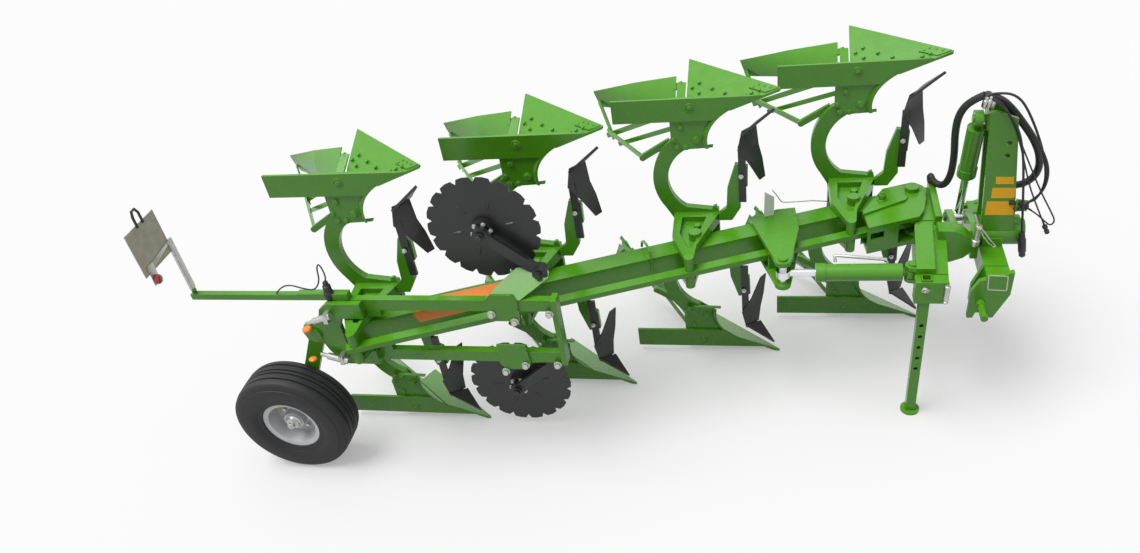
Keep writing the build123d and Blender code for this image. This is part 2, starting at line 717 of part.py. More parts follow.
def mast():
    front = ((548, 905), (512, TOP_EYE_Z - 60), (500, TOP_EYE_Z + 64))
    outline = polygon(*front, (530, TOP_EYE_Z + 70), (634, TOP_EYE_Z + 26), (712, 905))
    whole = side_plate(outline, AXIS_Y - 70, AXIS_Y - 50) + side_plate(outline, AXIS_Y + 50, AXIS_Y + 70)
    whole += block(502, 522, AXIS_Y - 55, AXIS_Y + 55, TOP_EYE_Z - 40, TOP_EYE_Z + 60)
    whole += block(560, 700, AXIS_Y - 55, AXIS_Y + 55, 905, 960)
    whole += rod((438, AXIS_Y, TOP_EYE_Z), (505, AXIS_Y, TOP_EYE_Z), EYE_PIN_R)
    whole -= rod((500, AXIS_Y, AXIS_Z), (800, AXIS_Y, AXIS_Z), 80)
    for z in (TOP_LINK_Z, TOP_LINK_Z + 70):
        whole = slotted(whole, (TOP_LINK_X, AXIS_Y, z), 12.9, (0, 1, 0))
    return whole


def link_pins():
    pins = []
    for side in (1, -1):
        start = AXIS_Y + side * (CHEEK_Y - 130)
        shoulder = AXIS_Y + side * (CHEEK_Y + 47)
        end = shoulder + side * LINK_PIN_FREE
        thick = rod((LINK_PIN_X, start, LINK_PIN_Z), (LINK_PIN_X, shoulder, LINK_PIN_Z), LINK_PIN_R + 5)
        pins.append(thick + rod((LINK_PIN_X, shoulder, LINK_PIN_Z), (LINK_PIN_X, end, LINK_PIN_Z), LINK_PIN_R))
    return pins


HEADSTOCK = headstock()
PINS = link_pins()
for pin in PINS:
    HEADSTOCK -= pin
node("headstock", HEADSTOCK)
node("mast", mast())
node("link_pins", PINS)

# Rear body: two rails along the travel that carry the disc coulters ahead and
# the depth wheel behind, drawn in that body's own x and y
REAR = Pos(body_offset(BOTTOMS - 1))
RAIL_Y = -190.0
RAIL_OFF = 173.0
DISC_X = 630.0
DISC_Y = -30.0
DISC_OFF = 525.0
DISC_R = 295.0
DISC_LOBES = 18
DISC_AXLE_R = 18.0
PIVOT_X = 900.0
PIVOT_OFF = 300.0


def rails():
    rail = block(-150, 970, RAIL_Y - 20, RAIL_Y + 20, AXIS_Z + RAIL_OFF - 35, AXIS_Z + RAIL_OFF + 35)
    foot = block(-150, 20, RAIL_Y - 20, RAIL_Y + 20, AXIS_Z + 95, AXIS_Z + RAIL_OFF - 34)
    piece = rail + (foot - CONSOLE)
    # Clamp plate outside the rail, and the gusset that rises to the coulter's pivot
    clamp = polygon((622, 82), (618, 218), (650, 250), (765, 250), (790, 215), (780, 82))
    piece += side_plate(Pos(0, AXIS_Z) * clamp, RAIL_Y - 32, RAIL_Y - 20)
    top = AXIS_Z + RAIL_OFF + 35
    rise = Plane(origin=(0, RAIL_Y - 8, top), x_dir=(1, 0, 0), z_dir=(0, -0.64, 0.77))
    gusset = polygon((632, -10), (802, -10), (946, 108), (946, 142), (905, 168), (775, 160), (668, 60))
    piece += extrude(rise * gusset, 12) - coulter_arm()
    whole = piece + mirror(piece, about=MID)
    return whole + block(960, 990, RAIL_Y - 35, RAIL_Y + 35, AXIS_Z - 215, AXIS_Z + 215)


def coulter_arm():
    """The upper disc's arm and the boss that it pivots on."""
    pivot = rod((PIVOT_X, -122, AXIS_Z + PIVOT_OFF), (PIVOT_X, -58, AXIS_Z + PIVOT_OFF), 38)
    arm = bar((PIVOT_X, -90, AXIS_Z + PIVOT_OFF), (DISC_X, -90, AXIS_Z + DISC_OFF), 60, 26, up=(0, 1, 0))
    end = rod((DISC_X, -105, AXIS_Z + DISC_OFF), (DISC_X, -75, AXIS_Z + DISC_OFF), 42)
    axle = rod((DISC_X, -112, AXIS_Z + DISC_OFF), (DISC_X, 8, AXIS_Z + DISC_OFF), DISC_AXLE_R)
    return pivot + arm + end + axle


def disc():
    """The upper disc and its hub."""
    centre = Plane(origin=(DISC_X, DISC_Y + 3, AXIS_Z + DISC_OFF), x_dir=(1, 0, 0), z_dir=(0, -1, 0))
    edge = []
    for lobe in range(DISC_LOBES):
        middle = 360 / DISC_LOBES * lobe
        for turn, radius in ((-6.6, DISC_R - 3), (0, DISC_R), (6.6, DISC_R - 3), (10, DISC_R - 30)):
            angle = math.radians(middle + turn)
            edge.append((radius * math.cos(angle), radius * math.sin(angle)))
    blade = extrude(centre * polygon(*edge), 6)
    hub = rod((DISC_X, DISC_Y - 38, AXIS_Z + DISC_OFF), (DISC_X, DISC_Y + 24, AXIS_Z + DISC_OFF), 62)
    return slotted(blade + hub, (DISC_X, 0, AXIS_Z + DISC_OFF), DISC_AXLE_R + RUNNING, (0, 1, 0))


node("rails", REAR * rails())
node("coulter_arms", [REAR * piece for piece in both(coulter_arm())])
node("disc_upper", REAR * disc())
node("disc_lower", REAR * mirror(disc(), about=MID))

# Depth wheel: a plate across the rails' ends, a swinging arm and a wheel
WHEEL_PIVOT_X = -380.0
WHEEL_X = -641.0
TYRE_R = 338.0
TYRE_WIDTH = 234.0
RIM_R = 165.0
PLATE_Y = RAIL_Y - 62.0    # the bracket's near face
ARM_Y = RAIL_Y - 26.0      # the arm's near face, between bracket and wheel
TYRE_CLEAR = 5.0           # from the arm to the tyre's wall
WHEEL_Y = ARM_Y - TYRE_CLEAR - TYRE_WIDTH / 2
ARM_THICK = 26.0
WHEEL_PIN_R = 24.0
AXLE_R = 25.0


def wheel_bracket():
    near = PLATE_Y
    far = ARM_Y - GAP
    outline = polygon(
        (-60, 112), (-60, 208), (-255, 208), (-300, 172), (-318, 120), (-355, 92), (-428, 62), (-446, 10),
        (-430, -44), (-345, -66), (-330, -110), (-300, -165), (-255, -208), (-60, -208), (-60, -112),
        (-192, -112), (-212, -60), (-212, 60), (-192, 112)
    )
    plate = side_plate(Pos(0, AXIS_Z) * outline, near, far)
    for side in (1, -1):
        z = AXIS_Z + side * RAIL_OFF
        plate += block(-258, -60, far - 1, RAIL_Y - 20, z - 30, z + 30)
    plate += rod((WHEEL_PIVOT_X, near - 14, AXIS_Z), (WHEEL_PIVOT_X, near, AXIS_Z), 42)
    beyond = ARM_Y + ARM_THICK
    pin = rod((WHEEL_PIVOT_X, near, AXIS_Z), (WHEEL_PIVOT_X, beyond + 6, AXIS_Z), WHEEL_PIN_R)
    head = rod((WHEEL_PIVOT_X, beyond + 0.4, AXIS_Z), (WHEEL_PIVOT_X, beyond + 12, AXIS_Z), 38)
    return plate + pin + head


def stops():
    """A stop cylinder on a lug, above the pivot."""
    lug = block(-262, -238, PLATE_Y - 54, PLATE_Y, AXIS_Z + 118, AXIS_Z + 172)
    barrel = rod((-330, PLATE_Y - 34, AXIS_Z + 122), (-222, PLATE_Y - 34, AXIS_Z + 158), 19)
    return lug + barrel + rod((-368, PLATE_Y - 34, AXIS_Z + 109), (-328, PLATE_Y - 34, AXIS_Z + 122.5), 11)


def wheel_arm():
    near = ARM_Y
    outer = ARM_Y + ARM_THICK
    pivot = (WHEEL_PIVOT_X, AXIS_Z)
    axle = (WHEEL_X, TYRE_R)
    middle = (near + outer) / 2
    arm = bar((pivot[0], middle, pivot[1]), (axle[0], middle, axle[1]), 84, ARM_THICK, up=(0, 1, 0))
    arm += rod((pivot[0], near, pivot[1]), (pivot[0], outer, pivot[1]), 58)
    arm += rod((axle[0], near, axle[1]), (axle[0], outer, axle[1]), 55)
    arm += rod((axle[0], outer, axle[1]), (axle[0], WHEEL_Y - 68, axle[1]), AXLE_R)
    return slotted(arm, (pivot[0], 0, pivot[1]), WHEEL_PIN_R + RUNNING, (0, 1, 0))


def turned(points):
    """A ring turned round the wheel's axle, from radius and y pairs."""
    plane = Plane(origin=(WHEEL_X, 0, TYRE_R), x_dir=(1, 0, 0), z_dir=(0, 0, 1))
    face = plane * polygon(*points)
    return revolve(face, Axis((WHEEL_X, 0, TYRE_R), (0, 1, 0)), 360)


def tyre():
    half = TYRE_WIDTH / 2
    side = [
        (RIM_R, WHEEL_Y - half + 34), (RIM_R + 30, WHEEL_Y - half + 10), (RIM_R + 85, WHEEL_Y - half),
        (TYRE_R - 30, WHEEL_Y - half + 14), (TYRE_R - 9, WHEEL_Y - half + 34), (TYRE_R, WHEEL_Y - half + 70),
    ]
    return turned(side + [(r, 2 * WHEEL_Y - y) for r, y in reversed(side)])


def rim():
    half = TYRE_WIDTH / 2 - 34
    bore = AXLE_R + RUNNING
    edge = [
        (bore, WHEEL_Y - 55), (58, WHEEL_Y - 55), (62, WHEEL_Y - 12), (118, WHEEL_Y - 4), (140, WHEEL_Y - half),
        (RIM_R + 9, WHEEL_Y - half - 8), (RIM_R + 9, WHEEL_Y - half - 1), (RIM_R, WHEEL_Y - half + 2),
        (RIM_R, WHEEL_Y + half), (150, WHEEL_Y + half), (132, WHEEL_Y + 10), (58, WHEEL_Y + 4),
        (58, WHEEL_Y + 60), (bore, WHEEL_Y + 60),
    ]
    return turned(edge) - tyre()


node("wheel_bracket", REAR * wheel_bracket())
node("wheel_stops", [REAR * piece for piece in both(stops())])
node("wheel_arm", REAR * wheel_arm())
node("rim", REAR * rim())
node("tyre", REAR * tyre())

# Light board on a pole behind the rails
POLE_Z = AXIS_Z + RAIL_OFF + 35 + 17.5
BOARD_X = -1036.0
POLE_Y = RAIL_Y - 9.0


def pole():
    piece = block(BOARD_X - 24, -160, POLE_Y - 17, POLE_Y + 18, POLE_Z - 17.5, POLE_Z + 17.5)
    piece += block(-420, -130, POLE_Y - 17, POLE_Y + 26, POLE_Z - 17.5, POLE_Z + 22)
    piece += block(BOARD_X - 5, BOARD_X + 3, POLE_Y - 16, POLE_Y + 14, POLE_Z + 17, 1470)
    return piece


def light_board():
    return block(BOARD_X - 10, BOARD_X - 5, POLE_Y - 251, POLE_Y - 1, 1404, 1656)


node("light_pole", REAR * pole())
node("light_board", REAR * light_board())

shift = Pos(-ORIGIN_X, -ORIGIN_Y, 0)
for name, solids in nodes.items():
    placed = [shift * solid for solid in solids]
    shape = placed[0] if len(placed) == 1 else Compound(children=placed)
    shape.label = name
    export_step(shape, f"parts/{name}.step")
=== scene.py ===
import math

import bmesh
import bpy
from mathutils import Matrix, Vector


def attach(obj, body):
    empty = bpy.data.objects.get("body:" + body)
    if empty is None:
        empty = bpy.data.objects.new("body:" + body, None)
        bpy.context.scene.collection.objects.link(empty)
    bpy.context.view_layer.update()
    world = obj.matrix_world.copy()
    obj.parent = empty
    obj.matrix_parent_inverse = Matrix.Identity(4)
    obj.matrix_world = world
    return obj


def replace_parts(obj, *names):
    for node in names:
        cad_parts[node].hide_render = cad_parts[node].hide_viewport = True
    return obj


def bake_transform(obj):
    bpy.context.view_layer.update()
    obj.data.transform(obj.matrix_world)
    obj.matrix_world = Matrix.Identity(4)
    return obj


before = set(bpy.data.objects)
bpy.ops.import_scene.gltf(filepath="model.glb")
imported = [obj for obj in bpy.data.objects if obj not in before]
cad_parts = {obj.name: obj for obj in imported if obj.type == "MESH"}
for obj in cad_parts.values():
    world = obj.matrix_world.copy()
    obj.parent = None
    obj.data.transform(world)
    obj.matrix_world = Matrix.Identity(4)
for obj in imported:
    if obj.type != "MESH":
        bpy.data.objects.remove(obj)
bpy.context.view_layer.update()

# The plough's own frame: millimetres, with y = 0 on the first landside
ORIGIN = Vector((-1420.0, -396.63, 0.0))
MM = 1000
AXIS_Y, AXIS_Z = -311, 875.0
SPACING, FURROW = 850.0, 330.0
BODIES = range(4)
REAR = 3
NEAR, FAR, UP, FRONT = (0, -1, 0), (0, 1, 0), (0, 0, 1), (1, 0, 0)


def at(x, y, z, body=0):
    """A point of the plough's own frame, in a body's own x and y, in metres."""
    return (Vector((x - SPACING * body, y - FURROW * body, z)) - ORIGIN) / MM


# Materials
COAT_ROUGHNESS = 0.12
BUMP_DEPTH = 0.002
MOTTLE_FROM, MOTTLE_TO = 0.3, 0.7
GLOSSIER, DULLER = 0.06, 0.08
ROUND_SAMPLES = 4


def material(
    name, colour, rough, metallic=0.0, coat=0.0, grain=0.06, scale=14.0, bump=0.02,
    bump_scale=90.0, round_mm=0.0,
):
    """A node material with uneven colour and gloss, a fine bump and, where asked, soft edges."""
    mat = bpy.data.materials.new(name)
    mat.use_nodes = True
    tree = mat.node_tree
    link = tree.links.new
    shader = tree.nodes["Principled BSDF"]
    shader.inputs["Metallic"].default_value = metallic
    shader.inputs["Coat Weight"].default_value = coat
    shader.inputs["Coat Roughness"].default_value = COAT_ROUGHNESS
    coord = tree.nodes.new("ShaderNodeTexCoord")

    def noise(size, detail):
        node = tree.nodes.new("ShaderNodeTexNoise")
        node.inputs["Scale"].default_value = size
        node.inputs["Detail"].default_value = detail
        link(coord.outputs["Object"], node.inputs["Vector"])
        return node.outputs["Fac"]

    broad = noise(scale, detail=5.0)
    ramp = tree.nodes.new("ShaderNodeValToRGB")
    stops = ((MOTTLE_FROM, 1 - grain), (MOTTLE_TO, 1 + grain))
    for stop, (position, shade) in zip(ramp.color_ramp.elements, stops):
        stop.position = position
        stop.color = (*[min(1.0, c * shade) for c in colour], 1)
    link(broad, ramp.inputs["Fac"])
    link(ramp.outputs["Color"], shader.inputs["Base Color"])
    gloss = tree.nodes.new("ShaderNodeMapRange")
    gloss.inputs["To Min"].default_value = max(0.02, rough - GLOSSIER)
    gloss.inputs["To Max"].default_value = min(1.0, rough + DULLER)
    link(broad, gloss.inputs["Value"])
    link(gloss.outputs["Result"], shader.inputs["Roughness"])
    relief = tree.nodes.new("ShaderNodeBump")
    relief.inputs["Strength"].default_value = bump
    relief.inputs["Distance"].default_value = BUMP_DEPTH
    link(noise(bump_scale, detail=3.0), relief.inputs["Height"])
    if round_mm:
        soft = tree.nodes.new("ShaderNodeBevel")
        soft.samples = ROUND_SAMPLES
        soft.inputs["Radius"].default_value = round_mm / MM
        link(soft.outputs["Normal"], relief.inputs["Normal"])
    link(relief.outputs["Normal"], shader.inputs["Normal"])
    return mat


GREEN = material(
    "green_paint", (0.066, 0.265, 0.006), 0.26, coat=0.08, grain=0.035, bump=0.02, round_mm=2.5,
)
BLACK = material(
    "black_paint", (0.013, 0.0135, 0.0145), 0.42, coat=0.1, grain=0.16, bump=0.08, round_mm=1.5,
)
SILVER = material(
    "rim_paint", (0.55, 0.56, 0.57), 0.36, metallic=0.35, grain=0.05, bump=0.03, round_mm=1.5,
)
RUBBER = material(
    "tyre_rubber", (0.010, 0.010, 0.011), 0.62, grain=0.2, scale=30, bump=0.2, bump_scale=220,
)
CHROME = material("chrome", (0.72, 0.73, 0.75), 0.14, metallic=1.0, grain=0.02, bump=0.01)
ZINC = material(
    "zinc", (0.52, 0.52, 0.50), 0.34, metallic=0.85, grain=0.1, scale=60, bump=0.06, round_mm=0.6,
)
PLY = material("board", (0.52, 0.48, 0.40), 0.5, grain=0.14, scale=22, bump=0.1)
PLASTIC = material("black_plastic", (0.012, 0.013, 0.014), 0.45, grain=0.12, scale=40, bump=0.12)
HOSE = material(
    "hose_rubber", (0.012, 0.012, 0.013), 0.5, grain=0.2, scale=60, bump=0.15, bump_scale=400,
)
ORANGE = material("orange_paint", (0.88, 0.23, 0.015), 0.35, coat=0.2, grain=0.04, bump=0.03)
YELLOW = material("yellow_label", (0.92, 0.47, 0.004), 0.45, grain=0.03, bump=0.01)
WHITE = material("white_label", (0.74, 0.74, 0.72), 0.45, grain=0.02, bump=0.01)
RED = material("red_lens", (0.45, 0.02, 0.012), 0.2, coat=0.6, grain=0.08, bump=0.02)

# CAD nodes with a look of their own; the skimmers are black and the rest is green
LOOKS = {
    "tyre": RUBBER, "rim": SILVER, "width_rod": CHROME, "turnover_rod": CHROME,
    "light_board": PLY, "wheel_stops": ZINC, "disc_upper": BLACK, "disc_lower": BLACK,
    "coulter_arms": BLACK,
}
for name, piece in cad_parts.items():
    look = LOOKS.get(name) or (BLACK if name.startswith("skimmers") else GREEN)
    piece.data.materials.clear()
    piece.data.materials.append(look)


# Geometry
def circle(centre, one, other, radius, sides):
    """Points round a centre, in the plane of two directions at right angles."""
    angles = [2 * math.pi * i / sides for i in range(sides)]
    return [centre + (one * math.cos(a) + other * math.sin(a)) * radius for a in angles]


class Shape:
    """Points and faces of one piece, in the plough's millimetres."""

    def __init__(self, body=0):
        self.body = body
        self.points = []
        self.faces = []

    def rings(self, rings, loop=False):
        """A skin over rings of equal count, with flat ends or closed on itself."""
        count, first = len(rings[0]), len(self.points)
        self.points += [Vector(point) for ring in rings for point in ring]
        for r in range(len(rings) if loop else len(rings) - 1):
            low, high = first + r * count, first + (r + 1) % len(rings) * count
            for i in range(count):
                after = (i + 1) % count
                self.faces.append((low + i, low + after, high + after, high + i))
        if not loop:
            end = first + (len(rings) - 1) * count
            self.faces.append(tuple(range(first + count - 1, first - 1, -1)))
            self.faces.append(tuple(range(end, end + count)))

    def turned(self, start, axis, profile, sides=24, loop=False):
        """A turned form from pairs of distance along an axis and radius."""
        axis = Vector(axis).normalized()
        across = axis.orthogonal().normalized()
        other = axis.cross(across)
        self.rings([
            circle(Vector(start) + axis * distance, across, other, radius, sides)
            for distance, radius in profile
        ], loop)

    def bolt(self, place, axis, across, height):
        """A hexagon head or nut on its washer, by its width across flats and its height."""
        corner = across / math.sqrt(3)
        rim, washer = corner * 1.25, across * 0.12
        self.turned(place, axis, ((-1, rim), (across * 0.1, rim), (washer, corner * 1.18)), 20)
        top = washer + height
        hexagon = ((0, corner * 0.96), (top - height * 0.15, corner), (top, corner * 0.86))
        self.turned(place, axis, hexagon, 6)

    def slab(self, outline, run):
        """A prism from an outline of points, swept along run."""
        run = Vector(run)
        self.rings([[Vector(p) for p in outline], [Vector(p) + run for p in outline]])

    def tube(self, path, radius, sides=10, ripple=None):
        """A round tube along points; ripple gives a factor of the radius at each point."""
        path = [Vector(p) for p in path]
        side = (path[1] - path[0]).orthogonal().normalized()
        rings = []
        for i, point in enumerate(path):
            ahead = (path[min(i + 1, len(path) - 1)] - path[max(i - 1, 0)]).normalized()
            side = (side - ahead * side.dot(ahead)).normalized()
            size = radius * (ripple(i) if ripple else 1)
            rings.append(circle(point, side, ahead.cross(side), size, sides))
        self.rings(rings)

    def mirrored(self):
        """Adds its mirror image about the height of the turnover axis."""
        first = len(self.points)
        self.points += [Vector((p.x, p.y, 2 * AXIS_Z - p.z)) for p in self.points]
        self.faces += [tuple(first + i for i in reversed(face)) for face in self.faces]


def build(name, shape, rider, look, chamfer=0.0, sharp=38.0):
    """A piece from a shape, with its edges eased, riding on a CAD body if one is named."""
    crease = math.radians(sharp)
    mesh = bpy.data.meshes.new(name)
    mesh.from_pydata([at(*point, shape.body) for point in shape.points], [], shape.faces)
    form = bmesh.new()
    form.from_mesh(mesh)
    bmesh.ops.recalc_face_normals(form, faces=form.faces)
    if chamfer:
        edges = [e for e in form.edges if len(e.link_faces) == 2 and e.calc_face_angle() > crease]
        bmesh.ops.bevel(
            form, geom=edges, offset=chamfer / MM, segments=2, profile=0.6, affect="EDGES",
            clamp_overlap=True,
        )
    for face in form.faces:
        face.smooth = True
    for edge in form.edges:
        edge.smooth = len(edge.link_faces) == 2 and edge.calc_face_angle() < crease
    form.to_mesh(mesh)
    form.free()
    mesh.materials.append(look)
    piece = bpy.data.objects.new(name, mesh)
    bpy.context.scene.collection.objects.link(piece)
    if rider:
        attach(piece, rider)
    return piece


def route(name, points, body=0, resolution=8):
    """A curve of one open spline with those control points."""
    curve = bpy.data.curves.new(name, "CURVE")
    curve.dimensions = "3D"
    spline = curve.splines.new("NURBS")
    spline.points.add(len(points) - 1)
    for target, point in zip(spline.points, points):
        target.co = (*at(*point, body), 1)
    spline.order_u = 3
    spline.use_endpoint_u = True
    spline.resolution_u = resolution
    curve.resolution_u = resolution
    obj = bpy.data.objects.new(name, curve)
    bpy.context.scene.collection.objects.link(obj)
    return obj


def round_hose(name, points, diameter, facets, rider, body=0):
    """A round hose or cable on a route, in metres across, riding on a CAD body."""
    hose = route(name, points, body)
    hose.data.bevel_depth = diameter / 2
    hose.data.bevel_resolution = facets
    hose.data.use_fill_caps = True
    hose.data.materials.append(HOSE)
    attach(hose, rider)
    return hose


# Tyre: five ribs round the tread, stepped walls
WHEEL_X, WHEEL_Y, WHEEL_Z = -641.0, -338.0, 338.0
WALL = (
    (78, 166), (96, 168), (104, 178), (106, 196), (109, 198), (110, 206), (114, 210), (117, 240),
    (117, 268), (114, 290), (110, 292), (107, 306), (103, 318), (96, 327),
)
TREAD = (
    (92, 331), (66, 337), (61, 336.5), (58, 328), (52, 328), (49, 336.8), (24, 338), (19, 337.8),
    (16, 329), (10, 329), (7, 338),
)
near_half = WALL + TREAD
tyre = Shape(REAR)
tyre.turned(
    (WHEEL_X, WHEEL_Y, WHEEL_Z), NEAR, near_half + tuple((-t, r) for t, r in reversed(near_half)),
    sides=96, loop=True,
)
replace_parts(build("tyre_ribbed", tyre, "wheel", RUBBER, sharp=42), "tyre")

# Wheel hub: its cap, cap nut and end, the disc's nuts and a yellow mark
CAP_Y, CAP_NUT_Y, CAP_END_Y = -392, -415, -436
RIM_NUT_Y, RIM_NUTS_R = -349, 80
RIM_NUTS, RIM_TURN = 6, 12
hub = Shape(REAR)
cap = ((0, 44), (6, 46), (10, 40), (22, 36), (24, 30))
hub.turned((WHEEL_X, CAP_Y, WHEEL_Z), NEAR, cap, 28)
hub.bolt((WHEEL_X, CAP_NUT_Y, WHEEL_Z), NEAR, 38, 20)
hub.turned((WHEEL_X, CAP_END_Y, WHEEL_Z), NEAR, ((0, 9), (10, 9), (12, 7)), 14)
for i in range(RIM_NUTS):
    angle = math.radians(360 / RIM_NUTS * i + RIM_TURN)
    x, z = WHEEL_X + RIM_NUTS_R * math.cos(angle), WHEEL_Z + RIM_NUTS_R * math.sin(angle)
    hub.bolt((x, RIM_NUT_Y, z), NEAR, 22, 15)
build("hub_nuts", hub, "wheel", ZINC)
mark = Shape(REAR)
mark.turned((WHEEL_X - 96, -352, WHEEL_Z + 62), NEAR, ((0, 12), (2, 12), (3, 10)), 18)
build("rim_mark", mark, "wheel", YELLOW)

# The four bodies: bolts, nuts and the share's point piece, lower half drawn and mirrored.
# The share's cutting edge runs back from its tip, and its face rises behind that edge.
SHARE_TIP = Vector((370, 6, 0))
SHARE_EDGE = Vector((-0.7712, 0.6366, 0))
BEHIND_EDGE = Vector((-0.6366, -0.7712, 0))
SHARE_ANGLE = math.radians(31)
SHARE_RISE = BEHIND_EDGE * math.cos(SHARE_ANGLE) + Vector((0, 0, math.sin(SHARE_ANGLE)))
SHARE_FACE = SHARE_RISE.cross(SHARE_EDGE).normalized()
SHARE_NUTS = (
    (466, 116), (368, 123), (425, 171), (487, 155), (277, 125), (130, 80), (100, 52), (155, 102),
)
POINT_BASE = ((8, 4), (166, 4), (166, 60), (58, 56), (10, 13))
POINT_TOP = ((14, 8), (161, 8), (161, 55), (61, 52), (16, 14))
POINT_BOLTS = ((48, 20), (84, 22), (120, 24), (140, 44))
POINT_FIT, POINT_THICK, POINT_BOLT_SEAT = 0.3, 7, 6.5
FROG_Y = 14
FROG_BOLTS = (
    (-145, 202, 26), (-185, 276, 22), (-65, 278, 34), (-169, 320, 26), (-121, 321, 24),
    (-141, 206, 12),
)
RING_PLUG = ((0, 26), (3, 26), (5, 24), (5, 18), (2.5, 17), (2.5, 16), (6, 15), (8, 11))


def on_share(along, up, out=0.0):
    """A point of the share: along its edge, up its face and out from it."""
    return SHARE_TIP + SHARE_EDGE * along + SHARE_RISE * up + SHARE_FACE * out


for k in BODIES:
    frog, nuts, tip, knee, clamp = (Shape(k) for _ in range(5))
    for x, z, across in FROG_BOLTS:
        frog.bolt((x, FROG_Y, z), NEAR, across, across * 0.4)
    frog.turned((-90, 1, 87), NEAR, RING_PLUG, 28)
    for along, up in SHARE_NUTS:
        nuts.bolt(on_share(along, up), SHARE_FACE, 17, 11)
    tip.rings([
        [on_share(*p, POINT_FIT) for p in POINT_BASE],
        [on_share(*p, POINT_THICK) for p in POINT_TOP],
    ])
    for p in POINT_BOLTS:
        tip.bolt(on_share(*p, POINT_BOLT_SEAT), SHARE_FACE, 10, 4)
    knee.bolt((-78, -71, 966), UP, 36, 22)
    clamp.bolt((164, -21, 1260), NEAR, 19, 10)
    for name, shape, look in (
        ("body_bolts", frog, GREEN), ("share_nuts", nuts, GREEN), ("share_point", tip, GREEN),
        ("knee_nuts", knee, GREEN), ("skimmer_bolts", clamp, ZINC),
    ):
        shape.mirrored()
        build(f"{name}_{k + 1}", shape, f"bottom_{k + 1}", look)

# Beam: coloured stripe, clamp bolts and the guide for the hoses
BEAM_ANGLE = math.atan2(FURROW, SPACING)
ALONG = Vector((math.cos(BEAM_ANGLE), math.sin(BEAM_ANGLE), 0))
ACROSS = Vector((-math.sin(BEAM_ANGLE), math.cos(BEAM_ANGLE), 0))
BEAM_TOP, BEAM_SIDE = 934, -179
PAINT = 1.8


def on_beam(s, c, z):
    """A point by the beam: s along it, c across it and z up."""
    return ALONG * s + ACROSS * c + Vector((0, 0, z))


stripe = Shape()
stripe.slab([
    on_beam(s, c, BEAM_TOP)
    for s, c in ((-2608, BEAM_SIDE), (-2094, BEAM_SIDE), (-2094, -80), (-2580, -80))
], (0, 0, PAINT))
stripe.slab([
    on_beam(s, BEAM_SIDE, z)
    for s, z in ((-2636, 913), (-2608, 862), (-2100, 862), (-2094, BEAM_TOP), (-2630, BEAM_TOP))
], ACROSS * -PAINT)
build("beam_stripe", stripe, "beam", ORANGE)

studs = Shape()
studs.bolt((69, -128, 960), UP, 38, 30)
studs.turned((69, -128, 990), UP, ((0, 10), (12, 10), (14, 8)), 16)
studs.mirrored()
build("head_studs", studs, "beam", GREEN)

guide = Shape()
guide.tube([on_beam(*p) for p in (
    (-1333, -30, 925), (-1331, -40, 962), (-1328, -80, 990), (-1324, -140, 998),
    (-1320, -182, 985), (-1318, -192, 940), (-1318, -190, 849),
)], 7, 10)
build("hose_guide", guide, "beam", GREEN)

# A blank card that stands on the beam and the bent wire beside it
card = Shape()
card.slab([
    on_beam(s, -60, z) for s, z in ((-634, BEAM_TOP), (-576, BEAM_TOP), (-573, 1074), (-627, 1118))
], ACROSS * 3)
build("blank_card", card, "beam", WHITE)
hook = Shape()
hook.tube([on_beam(s, -52, z) for s, z in (
    (-582, 1116), (-562, 1086), (-543, 1052), (-534, 1036), (-522, 1024), (-500, 1017),
    (-430, 1004), (-352, 991), (-268, 966), (-252, 956), (-250, BEAM_TOP),
)], 3, 8)
build("wire_hook", hook, "beam", ZINC)

# Headstock: blank labels on the mast and a bare plate in its frame on the cheek
MAST_SIDE, CHEEK_SIDE = -381, -675
LABEL_THICK, FRAME_THICK, FRAME_BORDER = 1.2, 2.2, 5
LABELS = (
    ((576, 1239), (660, 1236), (666, 1195), (582, 1198)),
    ((569, 1175), (679, 1172), (681, 1113), (570, 1115)),
    ((554, 1095), (687, 1092), (692, 1010), (553, 1013)),
)
labels = Shape()
for corners in LABELS:
    labels.slab([(x, MAST_SIDE, z) for x, z in corners], (0, -LABEL_THICK, 0))
build("blank_labels", labels, "headstock", YELLOW)
plate_corners = [
    Vector((x, CHEEK_SIDE, z)) for x, z in ((550, 845), (646, 839), (652, 743), (556, 749))
]
plate = Shape()
plate.slab(plate_corners, (0, -LABEL_THICK, 0))
build("bare_plate", plate, "headstock", GREEN)
border = Shape()
for a, b in zip(plate_corners, plate_corners[1:] + plate_corners[:1]):
    inward = Vector(FAR).cross((b - a).normalized()) * FRAME_BORDER
    border.slab([a, b, b + inward, a + inward], (0, -FRAME_THICK, 0))
build("plate_frame", border, "headstock", WHITE)

# Headstock: lock pin with its wire
pin = Shape()
grip = ((0, 9), (4, 17), (16, 19), (22, 15), (90, 15), (94, 20), (118, 20), (128, 15))
pin.turned((512, -484, 1020), (-6, 0, -131), grip, 20)
pin.turned((512, -484, 1008), FAR, ((0, 7), (104, 7)), 12)
build("lock_pin", pin, "headstock", ZINC)
wire = Shape()
wire.tube((
    (512, -482, 1012), (541, -498, 984), (569, -505, 944), (593, -507, 916), (603, -507, 904),
    (591, -507, 900), (566, -505, 922), (537, -500, 959), (517, -484, 999),
), 2.4, 8)
build("lock_wire", wire, "headstock", ZINC)

